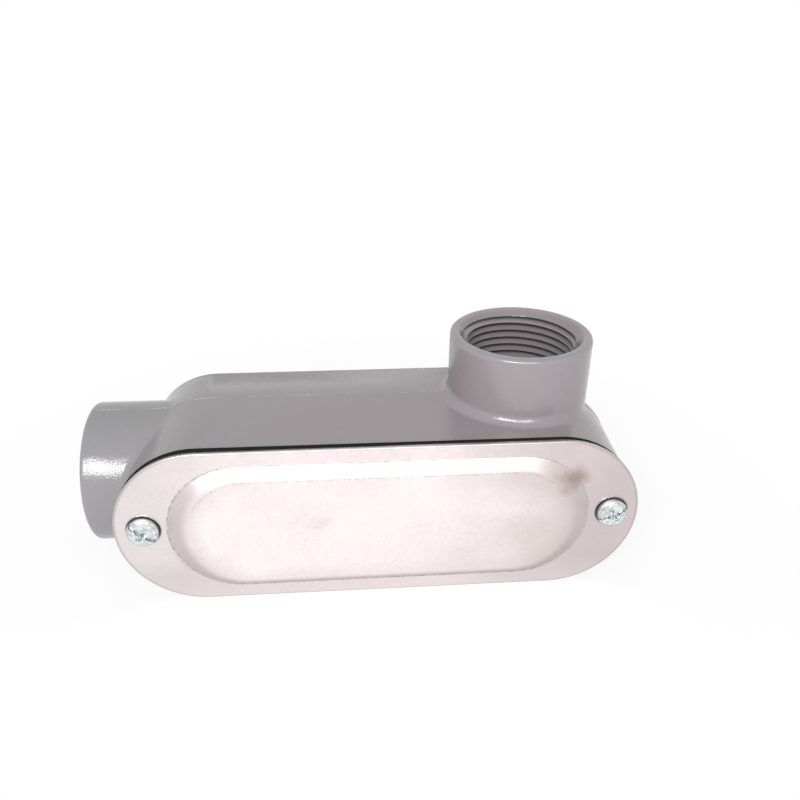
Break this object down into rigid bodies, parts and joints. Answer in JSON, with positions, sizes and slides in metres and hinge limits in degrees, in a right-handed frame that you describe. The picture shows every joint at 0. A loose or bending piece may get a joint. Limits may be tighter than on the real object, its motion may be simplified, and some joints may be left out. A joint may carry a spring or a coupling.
{
  "type": "conduit body",
  "caption": "Cast aluminium conduit body with a threaded end hub, a threaded side hub at the far end, a gasket and a screwed-on cover over its wiring chamber.",
  "frame": {"origin": "centre of the end hub's mouth, on its axis; the end_hub mount's point is where the thread wall starts, 0.7 mm inside", "axes": "+X along the body away from the end hub's mouth, +Z the way the side hub points, -Y the side the cover faces"},
  "size_m": [0.1494, 0.0524, 0.0636],
  "materials": {
    "casting": "grey baked enamel over die-cast aluminium, glossy with a fine orange peel",
    "gasket": "matt black",
    "cover": "bare stamped sheet, smudged from handling",
    "screw": "bright zinc plate"
  },
  "bodies": {
    "root": {"body_casting": "casting", "cover_gasket": "gasket", "cover_plate": "cover", "cover_screw_left": "screw", "cover_screw_right": "screw"}
  },
  "joints": []
}
